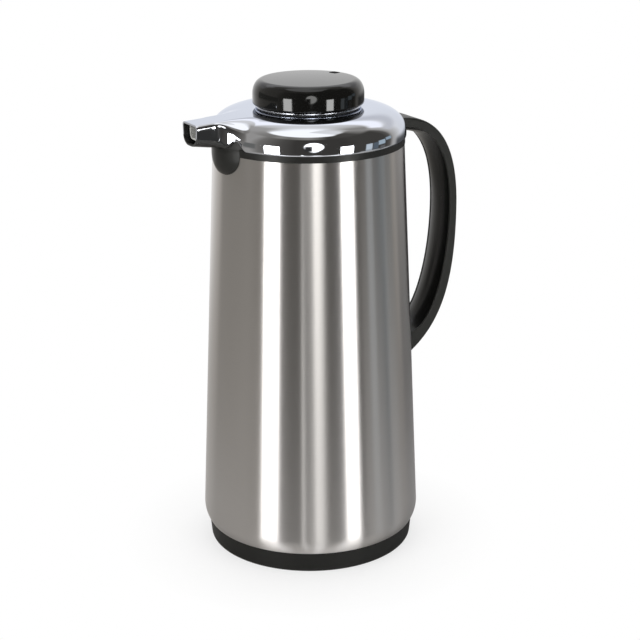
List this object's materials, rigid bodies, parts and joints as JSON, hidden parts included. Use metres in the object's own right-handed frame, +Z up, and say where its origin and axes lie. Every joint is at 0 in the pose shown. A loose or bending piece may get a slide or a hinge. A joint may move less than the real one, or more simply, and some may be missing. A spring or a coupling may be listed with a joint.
{
  "type": "vacuum jug",
  "caption": "Vacuum jug with a tapered brushed steel jacket, chromed shoulder and spout, black loop handle and a turning stopper knob that opens the pour valve.",
  "frame": {"origin": "centre of the base's underside, on the jug's own axis", "axes": "+Z up along the jug's axis, +X towards the handle, -X towards the spout"},
  "size_m": [0.1919, 0.145, 0.3136],
  "materials": {
    "jacket_steel": "brushed round the body, satin",
    "shoulder_chrome": "bright chrome plate",
    "knob_black": "polished moulded plastic",
    "collar_black": "semi-gloss moulded plastic",
    "base_black": "satin moulded plastic",
    "handle_black": "satin moulded plastic",
    "pad_black": "satin moulded plastic",
    "mark_black": "matte inlay",
    "inner_plastic": "food-safe moulded plastic",
    "housing_black": "food-safe moulded plastic",
    "silicone": "silicone rubber",
    "cushion_rubber": "soft rubber",
    "silvered_glass": "silvered on the vacuum side",
    "foam": "rigid foam",
    "screw_steel": "zinc-plated steel"
  },
  "bodies": {
    "jug": {"steel_jacket": "jacket_steel", "base_cap": "base_black", "base_thread_ring": "base_black", "flask_cushion": "cushion_rubber", "glass_outer_wall": "silvered_glass", "glass_inner_wall": "silvered_glass", "flask_gasket": "silicone", "collar_ring": "collar_black", "shoulder": "shoulder_chrome", "neck_insert": "inner_plastic", "handle_band": "handle_black", "handle_grip_pad": "pad_black", "handle_back_strip": "handle_black", "handle_screws": "screw_steel", "handle_anchor_plate": "screw_steel"},
    "stopper": {"stopper_housing": "housing_black", "stopper_gasket": "silicone", "stopper_trim_ring": "shoulder_chrome", "stopper_insulation": "foam"},
    "knob": {"knob_cap": "knob_black", "knob_core": "housing_black", "knob_clip": "screw_steel", "knob_mark": "mark_black"},
    "valve": {"valve_stem": "inner_plastic", "valve_disc": "inner_plastic", "valve_seal": "silicone"}
  },
  "joints": [
    {"name": "stopper_lift_out", "type": "slide", "parent": "jug", "child": "stopper", "axis": [0, 0, 1], "range_m": [0, 0.04]},
    {"name": "knob_turn", "type": "hinge", "parent": "stopper", "child": "knob", "pos_m": [0, 0, 0.3], "axis": [0, 0, 1], "range_deg": [0, 180]},
    {"name": "valve_rise", "type": "slide", "parent": "stopper", "child": "valve", "axis": [0, 0, 1], "range_m": [0, 0.004]}
  ],
  "couplings": [
    {"joint": "valve_rise", "follows": "knob_turn", "m_per_rad": 0.00127}
  ]
}
